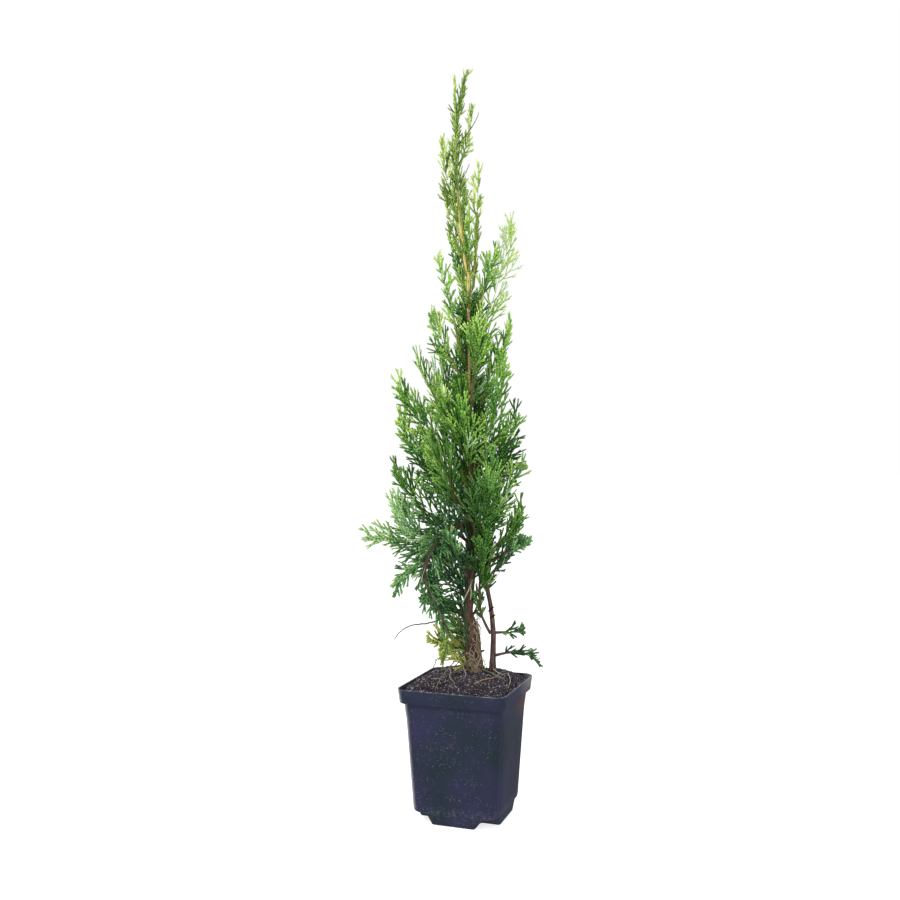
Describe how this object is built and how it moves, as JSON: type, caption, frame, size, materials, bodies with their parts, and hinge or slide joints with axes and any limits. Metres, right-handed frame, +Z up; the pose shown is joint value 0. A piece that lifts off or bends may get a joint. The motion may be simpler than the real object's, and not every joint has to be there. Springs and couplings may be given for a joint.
{
  "type": "potted thuja",
  "caption": "Young slender conifer with flat scale-leaved sprays on upswept boughs, rooted in a square tapered nursery pot with a collar and a cross-shaped foot.",
  "frame": {"origin": "centre of the flat underside of the pot's foot", "axes": "+Z up along the plant, +X and +Y square to the pot's sides"},
  "size_m": [0.1362, 0.1002, 0.6126],
  "materials": {
    "pot_plastic": "satin moulded polypropylene, blue-black",
    "peat_soil": "moist crumbly peat",
    "bark": "thin fibrous bark, reddish brown below and tan above",
    "foliage": "scale leaves, satin green"
  },
  "bodies": {
    "root": {"pot": "pot_plastic", "soil": "peat_soil", "trunk": "bark", "right_stem": "bark", "right_fork": "bark", "thin_stem": "bark", "left_bough": "bark", "middle_bough": "bark", "left_low_bough": "bark", "back_bough": "bark", "front_bough": "bark", "left_upper_bough": "bark", "right_leader": "bark", "upper_leader": "bark", "foliage_foot_left": "foliage", "foliage_foot_right": "foliage", "foliage_twig_right": "foliage", "foliage_hanging_left": "foliage", "foliage_low_left": "foliage", "foliage_inner_left": "foliage", "foliage_low_front": "foliage", "foliage_inner_right": "foliage", "foliage_long_left": "foliage", "foliage_front_low": "foliage", "foliage_back_low": "foliage", "foliage_back_right_low": "foliage", "foliage_fork": "foliage", "foliage_right_low": "foliage", "foliage_right_middle": "foliage", "foliage_front_left_low": "foliage", "foliage_left_low": "foliage", "foliage_left_front_low": "foliage", "foliage_front_right_low": "foliage", "foliage_back_middle": "foliage", "foliage_back_right": "foliage", "foliage_back_left": "foliage", "foliage_left_middle": "foliage", "foliage_left_outer": "foliage", "foliage_right_outer": "foliage", "foliage_front": "foliage", "foliage_front_left": "foliage", "foliage_front_right": "foliage", "foliage_back_right_upper": "foliage", "foliage_back_left_upper": "foliage", "foliage_left_front": "foliage", "foliage_right_upper": "foliage", "foliage_front_upper": "foliage", "foliage_left_upper": "foliage", "foliage_left_slender": "foliage", "foliage_right_inner": "foliage", "foliage_right_airy": "foliage", "foliage_back_slender": "foliage", "foliage_left_high": "foliage", "foliage_front_high": "foliage", "foliage_left_crest": "foliage", "foliage_right_high": "foliage", "foliage_back_high": "foliage", "foliage_crown_left": "foliage", "foliage_crown_front": "foliage", "foliage_crown_right": "foliage"}
  },
  "joints": []
}
